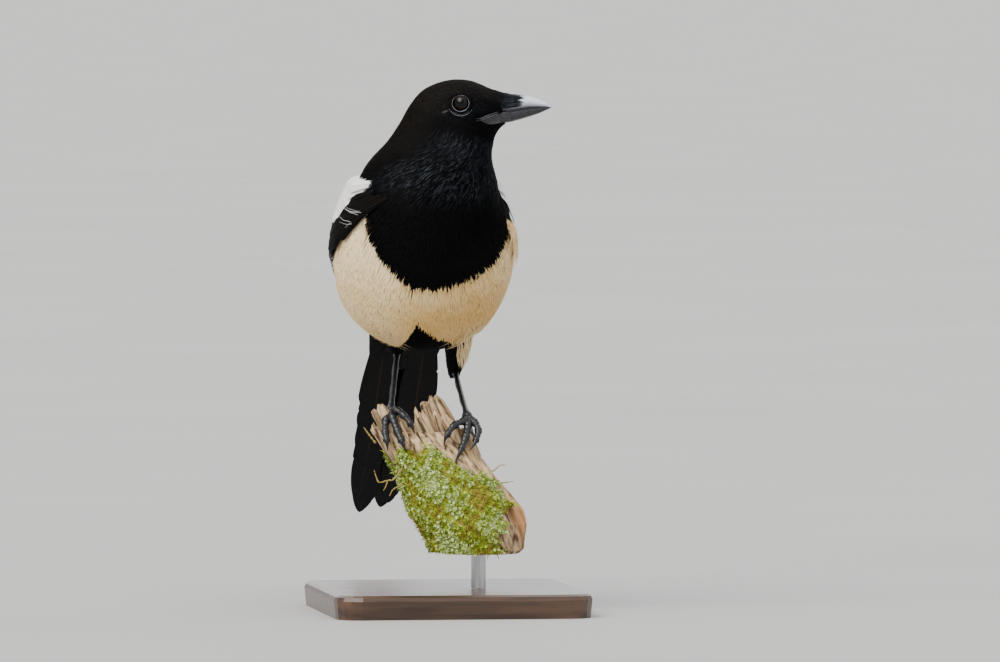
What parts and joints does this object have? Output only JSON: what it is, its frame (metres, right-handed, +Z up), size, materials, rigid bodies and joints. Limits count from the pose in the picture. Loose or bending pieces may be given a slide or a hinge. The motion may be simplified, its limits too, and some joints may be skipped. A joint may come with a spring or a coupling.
{
  "type": "eurasian magpie model on a perch",
  "caption": "Life-size still model of a Eurasian magpie gripping a splintered, mossy branch end, held by a rod on a flat base.",
  "frame": {"origin": "centre of the underside of the stand base", "axes": "+Z up; -Y the way the bird faces, with the tail towards +Y; +X the left of the bird, where its head is turned"},
  "size_m": [0.14, 0.3222, 0.2882],
  "materials": {
    "black_plumage": "matt black body feathers, faint blue and green gloss",
    "cream_plumage": "soft cream-white belly, with the black bib of the breast above it",
    "eye": "wet dark brown, mirror gloss",
    "gloss_plumage": "black flight and tail feathers with blue, green and purple gloss",
    "horn": "slate-black horn, half gloss, paler along the ridge",
    "leg_skin": "black scuted skin, half gloss",
    "plinth_wood": "dark stained wood, satin",
    "rod_steel": "bright steel",
    "weathered_wood": "grey-tan weathered splinters, orange-brown broken wood, green moss below",
    "white_plumage": "soft clean white shoulder feathers"
  },
  "bodies": {
    "root": {"bill_lower": "horn", "bill_upper": "horn", "claw_left_hind": "horn", "claw_left_inner": "horn", "claw_left_middle": "horn", "claw_left_outer": "horn", "claw_right_hind": "horn", "claw_right_inner": "horn", "claw_right_middle": "horn", "claw_right_outer": "horn", "coverts_over_tail": "gloss_plumage", "coverts_under_tail": "gloss_plumage", "eye_left": "eye", "eye_right": "eye", "foot_left": "leg_skin", "foot_right": "leg_skin", "head": "black_plumage", "neck": "black_plumage", "perch": "weathered_wood", "scapulars_left": "white_plumage", "scapulars_right": "white_plumage", "stand_base": "plinth_wood", "stand_rod": "rod_steel", "tail": "gloss_plumage", "tarsus_left": "leg_skin", "tarsus_right": "leg_skin", "thigh_left": "black_plumage", "thigh_right": "black_plumage", "torso": "cream_plumage", "wing_left": "gloss_plumage", "wing_right": "gloss_plumage"}
  },
  "joints": []
}
